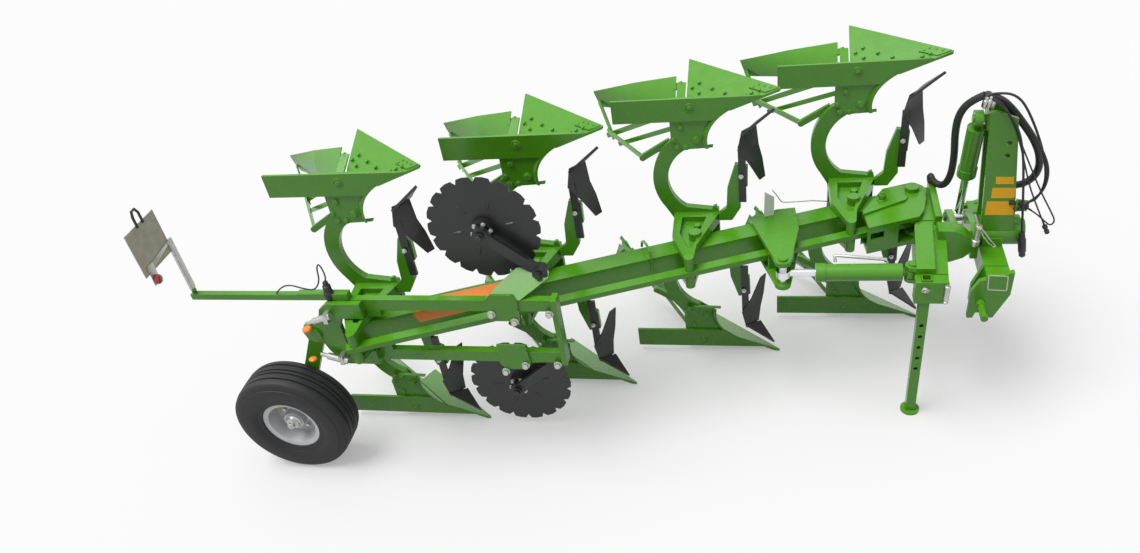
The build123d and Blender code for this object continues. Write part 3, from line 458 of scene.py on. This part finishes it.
# Headstock: clamp for the hoses on the mast's top, with its fittings
holder = Shape()
foot = [(x, AXIS_Y, z) for x, z in ((470, 1590), (520, 1590), (516, 1625), (474, 1625))]
holder.slab(foot, (0, 8, 0))
holder.turned((494, -335, 1640), FAR, ((0, 20), (4, 26), (44, 26), (48, 20)), 24)
build("hose_clamp", holder, "headstock", PLASTIC, chamfer=1.5)
fittings = Shape()
fitting = ((0, 7), (3, 9), (26, 9), (28, 12), (44, 12), (46, 9), (60, 8))
for place in ((476, -345, 1600), (494, -352, 1606), (512, -345, 1598)):
    fittings.turned(place, (0.1, -0.1, 1), fitting, 6)
build("clamp_fittings", fittings, "headstock", ZINC)

# Stand holder: spring pin with its ring and the pivot barrel at its side
spring_pin = Shape()
spring_pin.turned((227, -834, 873), NEAR, ((0, 14), (4, 15), (7, 12), (7, 7), (16, 6), (18, 4)), 20)
spring_pin.tube((
    (210, -842, 870), (216, -848, 884), (232, -850, 888), (248, -846, 878), (244, -842, 866),
    (226, -846, 862), (210, -842, 870),
), 2.5, 8)
build("stand_pin", spring_pin, "carrier", ZINC)
barrel = Shape()
barrel.turned((330, -847, 796), UP, (
    (0, 9), (3, 12), (12, 12), (14, 9), (22, 9), (24, 13), (96, 13), (99, 15), (108, 15),
    (112, 11),
), 20)
build("stand_spring", barrel, "carrier", ZINC)

# Hoses from the clamp: name, diameter and length in metres, far end and route
HOSES = (
    ("hose_1", 0.012, 0.80, "plug", (
        (510, -330, 1667), (542, -340, 1675), (594, -350, 1672), (641, -360, 1639),
        (694, -365, 1550), (748, -370, 1433), (788, -375, 1325), (811, -380, 1214),
        (796, -385, 1130), (762, -385, 1084), (701, -385, 1085),
    )),
    ("hose_2", 0.012, 0.75, "plug", (
        (506, -350, 1666), (541, -360, 1659), (591, -375, 1633), (653, -390, 1555),
        (719, -400, 1462), (774, -405, 1370), (807, -405, 1286), (811, -400, 1191),
        (782, -395, 1119), (722, -390, 1070),
    )),
    ("hose_3", 0.008, 0.96, "plug", (
        (503, -370, 1666), (546, -390, 1653), (595, -410, 1567), (644, -420, 1465),
        (710, -425, 1328), (787, -420, 1170), (858, -416, 1045), (886, -412, 990),
        (870, -408, 958), (838, -405, 985), (800, -400, 1024), (740, -395, 1066),
    )),
    ("hose_4", 0.012, 0.95, "connector", (
        (502, -380, 1666), (546, -400, 1637), (592, -415, 1581), (636, -425, 1510),
        (670, -430, 1388), (693, -430, 1247), (714, -430, 1101), (735, -430, 937),
        (761, -430, 779),
    )),
    ("hose_5", 0.008, 0.78, "plug", (
        (512, -360, 1650), (555, -385, 1630), (613, -405, 1538), (663, -415, 1407),
        (726, -420, 1212), (784, -420, 1082), (842, -420, 960),
    )),
)
for name, diameter, length, far_end, points in HOSES:
    hose = round_hose(name, points, diameter, 4, "headstock")
    last, before = Vector(points[-1]), Vector(points[-2])
    radius = diameter / 2 * MM
    end = Shape()
    if far_end == "connector":
        end.turned(before, last - before, (
            (0, radius), (2, 15), (40, 17), (44, 20), (120, 20), (124, 17), (150, 16), (154, 10),
        ), 16)
    else:
        end.turned(last, before - last, (
            (-42, 9), (-40, 12), (-22, 12), (-20, 9), (-8, 9), (-6, 13), (8, 13),
            (10, radius + 1), (34, radius + 1),
        ), 16)
    build(f"{name}_end", end, "headstock", PLASTIC)

# Rack that the hoses' plugs sit in, on the mast's front edge
rack = Shape()
rack_front = [(x, -388, z) for x, z in ((694, 1040), (748, 1040), (756, 1100), (694, 1112))]
rack_foot = [(x, -384, z) for x, z in ((690, 1040), (698, 1040), (698, 1112), (690, 1112))]
rack.slab(rack_front, (0, -6, 0))
rack.slab(rack_foot, (0, -16, 0))
build("hose_rack", rack, "headstock", GREEN, chamfer=1.5)

# Corrugated sleeves: every third ring is a groove
SLEEVE_R = 19.0
RING_STEP = 2.6
GROOVE = 0.9
SLEEVE_SIDES = 18
FINE = 24


def read_route(points):
    """The smooth line of a route, in the plough's millimetres, read from its own spline."""
    obj = route("route", points, resolution=FINE)
    mesh = bpy.data.meshes.new_from_object(obj)
    line = [v.co * MM + ORIGIN for v in mesh.vertices]
    bpy.data.meshes.remove(mesh)
    bpy.data.objects.remove(obj)
    return line


def corrugated(name, points, start_body=None):
    """A ribbed sleeve that ends on the headstock and starts there or on another body."""
    line = read_route(points)
    stations, walked, mark = line[:1], 0.0, 0.0
    for a, b in zip(line, line[1:]):
        walked += (b - a).length
        if walked - mark >= RING_STEP:
            stations.append(b)
            mark = walked
    sleeve = Shape()
    sleeve.tube(stations, SLEEVE_R, SLEEVE_SIDES, lambda i: 1.0 if i % 3 else GROOVE)
    piece = build(name, sleeve, None if start_body else "headstock", HOSE, sharp=60)
    if start_body:
        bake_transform(piece)


corrugated("sleeve_a", (
    (340, 20, 975), (326, 15, 1036), (350, -20, 992), (393, -80, 1008), (412, -130, 1106),
    (405, -180, 1256), (384, -220, 1412), (383, -260, 1532), (419, -290, 1615),
    (479, AXIS_Y, 1654),
), "carrier")
corrugated("sleeve_b", (
    (511, AXIS_Y, 1647), (558, AXIS_Y, 1629), (615, -305, 1571), (683, -290, 1480),
    (748, -270, 1385), (797, -250, 1282), (814, -225, 1180), (788, -205, 1103),
    (723, -195, 1069), (624, -190, 1087), (575, -190, 960), (575, -190, 825),
))

# Width cylinder: its pipe
pipe = Shape()
pipe.tube((
    (-196, -640, 905), (-200, -621, 930), (-170, -624, 933), (55, -659, 933), (62, -662, 912),
), 9, 12)
build("cylinder_pipe", pipe, "width_barrel", ZINC)

# Discs: pressed ridges, the hub's nuts and the axle's end nut
DISC_X, DISC_Z, DISC_FACE = 630.0, 350.0, -32.5
RIDGE = (
    (112, 0), (118, 7), (126, 9), (160, 9), (168, 7), (174, 0), (168, -7), (160, -9),
    (126, -9), (118, -7),
)
RIDGE_MIDDLE, RIDGE_HEIGHT = 143, 6
CROWN_LONG, CROWN_WIDE = 0.8, 0.45
DISC_NUTS_R, DISC_NUTS_OUT = 48, 35
DISC_RIDGES, DISC_TURN = 6, 10
for name, height in (("lower", DISC_Z), ("upper", 2 * AXIS_Z - DISC_Z)):
    centre = Vector((DISC_X, DISC_FACE, height))
    ridges, nuts = Shape(REAR), Shape(REAR)
    for i in range(DISC_RIDGES):
        angle = math.radians(360 / DISC_RIDGES * i + DISC_TURN)
        out = Vector((math.cos(angle), 0, math.sin(angle)))
        side = Vector((-out.z, 0, out.x))
        base = [centre + out * r + side * w for r, w in RIDGE]
        crown = [
            centre + out * (RIDGE_MIDDLE + (r - RIDGE_MIDDLE) * CROWN_LONG)
            + side * w * CROWN_WIDE - Vector((0, RIDGE_HEIGHT, 0))
            for r, w in RIDGE
        ]
        ridges.rings([base, crown])
        nuts.bolt(centre + out * DISC_NUTS_R - Vector((0, DISC_NUTS_OUT, 0)), NEAR, 17, 11)
    build(f"disc_ridges_{name}", ridges, f"disc_{name}", BLACK)
    build(f"disc_nuts_{name}", nuts, f"disc_{name}", ZINC)
axle = Shape(REAR)
axle.bolt((DISC_X, -112, DISC_Z), NEAR, 34, 18)
axle.mirrored()
axle.bolt((894, -126, 1178), NEAR, 30, 16)
build("coulter_nuts", axle, "bottom_4", BLACK)

# Light board: handle, lamp and bracket
BOARD_X, BRACKET_X = -1036, -1040
handle = Shape(REAR)
handle.tube([(BOARD_X, y, z) for y, z in (
    (-348, 1645), (-348, 1700), (-338, 1730), (-312, 1730), (-299, 1704), (-299, 1645),
)], 7, 10)
build("board_handle", handle, "bottom_4", PLASTIC)
lens = Shape(REAR)
lens.turned((BOARD_X, -398, 1362), FRONT, ((0, 22), (3, 26), (14, 26), (20, 22), (24, 14)), 24)
build("board_lamp", lens, "bottom_4", RED)
bracket = Shape(REAR)
post = [(x, y, 1150) for x, y in ((-1043, -218), (-1043, -179), (-1031, -179), (-1031, -218))]
bracket.slab(post, (0, 0, 322))
for outline in (
    ((-425, 1338), (-375, 1338), (-366, 1450), (-420, 1450)),
    ((-366, 1420), (-190, 1452), (-190, 1470), (-366, 1450)),
):
    bracket.slab([(BRACKET_X, y, z) for y, z in outline], (4, 0, 0))
build("board_bracket", bracket, "bottom_4", ZINC, chamfer=1.0)

# Wheel stops: orange tips
tips = Shape(REAR)
tips.turned((-391, -286, 925), UP, ((0, 12), (6, 24), (20, 26), (26, 20)), 20)
tips.turned((-432, -286, 716), UP, ((0, 10), (4, 20), (12, 22), (16, 16)), 20)
build("stop_tips", tips, "bottom_4", ORANGE)

# Lamp cable: from the pole's sleeve up to its plug above the rear console
cable_points = (
    (-540, -206, 1122), (-500, -215, 1165), (-430, -225, 1195), (-350, -225, 1165),
    (-300, -215, 1150), (-258, -208, 1205), (-250, -204, 1290), (-230, -200, 1312),
    (-218, -200, 1240), (-234, -200, 1190), (-241, -200, 1090),
)
cable = round_hose("lamp_cable", cable_points, 0.008, 3, "bottom_4", REAR)
plug = Shape(REAR)
plug.turned((-236, -200, 1192), (-7, 0, -192), (
    (-6, 8), (0, 14), (20, 16), (24, 22), (60, 23), (64, 27), (100, 27), (104, 22), (150, 20),
    (192, 16),
), 18)
build("lamp_plug", plug, "bottom_4", PLASTIC)

# Rail bolts
rail = Shape(REAR)
for x, z in ((642, 1007), (757, 959), (947, 1010), (644, 612), (762, 659), (938, 667)):
    rail.bolt((x, -226, z), NEAR, 30, 18)
for x in (682, 758):
    rail.bolt((x, -202, 1090), UP, 28, 18)
build("rail_bolts", rail, "bottom_4", ZINC)


# Floor: pale to the camera and in shines, duller for the light that it throws back
FLOOR_PALE, FLOOR_LIFT, FLOOR_DULL = 0.41, 0.33, 0.24
FLOOR_SIZE = 60


def seen(tree):
    """1 for the rays that show the backdrop: straight, in a shine or through glass."""
    paths = tree.nodes.new("ShaderNodeLightPath")
    total = paths.outputs["Is Camera Ray"]
    for ray in ("Is Glossy Ray", "Is Transmission Ray"):
        larger = tree.nodes.new("ShaderNodeMath")
        larger.operation = "MAXIMUM"
        tree.links.new(total, larger.inputs[0])
        tree.links.new(paths.outputs[ray], larger.inputs[1])
        total = larger.outputs[0]
    return total


floor_look = bpy.data.materials.new("floor")
floor_look.use_nodes = True
ground = floor_look.node_tree
ground.nodes.remove(ground.nodes["Principled BSDF"])
pale = ground.nodes.new("ShaderNodeBsdfDiffuse")
pale.inputs["Color"].default_value = (FLOOR_PALE, FLOOR_PALE, FLOOR_PALE, 1)
lift = ground.nodes.new("ShaderNodeEmission")
lift.inputs["Strength"].default_value = FLOOR_LIFT
both = ground.nodes.new("ShaderNodeAddShader")
dull = ground.nodes.new("ShaderNodeBsdfDiffuse")
dull.inputs["Color"].default_value = (FLOOR_DULL, FLOOR_DULL, FLOOR_DULL, 1)
choice = ground.nodes.new("ShaderNodeMixShader")
ground.links.new(pale.outputs[0], both.inputs[0])
ground.links.new(lift.outputs[0], both.inputs[1])
ground.links.new(seen(ground), choice.inputs["Fac"])
ground.links.new(dull.outputs[0], choice.inputs[1])
ground.links.new(both.outputs[0], choice.inputs[2])
ground.links.new(choice.outputs[0], ground.nodes["Material Output"].inputs["Surface"])
bpy.ops.mesh.primitive_plane_add(size=FLOOR_SIZE, location=(0, 0, 0))
floor = bpy.context.object
floor.name = "floor"
floor.data.materials.append(floor_look)

# Camera, as solved from the photograph: pixels, and millimetres of the plough's frame
FRAME_W, FRAME_H = 1140, 553
CENTRE_U, CENTRE_V = 582, 315
FOCAL_PX = 889.43
SENSOR_MM = 36
EYE_PLACE = (-457, -4546, 3750)
YAW, PITCH, ROLL = math.radians(16.375), math.radians(38.328), math.radians(-9.842)
right = Vector((math.cos(YAW), math.sin(YAW), 0))
level = Vector((-math.sin(YAW), math.cos(YAW), 0))
ahead = level * math.cos(PITCH) + Vector((0, 0, -1)) * math.sin(PITCH)
above = right.cross(ahead)
right_rolled = right * math.cos(ROLL) + above * math.sin(ROLL)
above_rolled = above * math.cos(ROLL) - right * math.sin(ROLL)
turn = Matrix((right_rolled, above_rolled, -ahead)).transposed()
eye = bpy.data.cameras.new("camera")
eye.sensor_width = SENSOR_MM
eye.lens = FOCAL_PX / FRAME_W * SENSOR_MM
eye.shift_x = -(CENTRE_U - FRAME_W / 2) / FRAME_W
eye.shift_y = (CENTRE_V - FRAME_H / 2) / FRAME_W
camera = bpy.data.objects.new("camera", eye)
camera.matrix_world = Matrix.Translation(at(*EYE_PLACE)) @ turn.to_4x4()
bpy.context.scene.collection.objects.link(camera)
bpy.context.scene.camera = camera

# World: a dome that is bright overhead and dim at the horizon, and white where it is seen
DOME_LOW, DOME_HIGH = 0.09, 1.0
world = bpy.data.worlds.new("world")
bpy.context.scene.world = world
world.use_nodes = True
dome = world.node_tree
background = dome.nodes["Background"]
background.inputs["Color"].default_value = (1, 1, 1, 1)
facing = dome.nodes.new("ShaderNodeTexCoord")
parts = dome.nodes.new("ShaderNodeSeparateXYZ")
dome.links.new(facing.outputs["Generated"], parts.inputs[0])
rise = dome.nodes.new("ShaderNodeMapRange")
rise.inputs["To Min"].default_value = DOME_LOW
rise.inputs["To Max"].default_value = DOME_HIGH
dome.links.new(parts.outputs["Z"], rise.inputs["Value"])
plain = dome.nodes.new("ShaderNodeMath")
plain.operation = "MAXIMUM"
dome.links.new(rise.outputs["Result"], plain.inputs[0])
dome.links.new(seen(dome), plain.inputs[1])
dome.links.new(plain.outputs[0], background.inputs["Strength"])

# Sun: wide, so that its shadows are soft
SUN_STRENGTH, SUN_ANGLE = 3.0, 40
SUN_DIRECTION = Vector((0.40, 0.12, -1.0))
sun = bpy.data.lights.new("sun", "SUN")
sun.energy = SUN_STRENGTH
sun.angle = math.radians(SUN_ANGLE)
sun_piece = bpy.data.objects.new("sun", sun)
sun_piece.rotation_euler = SUN_DIRECTION.to_track_quat("-Z", "Y").to_euler()
bpy.context.scene.collection.objects.link(sun_piece)

bpy.context.scene.view_settings.view_transform = "Standard"
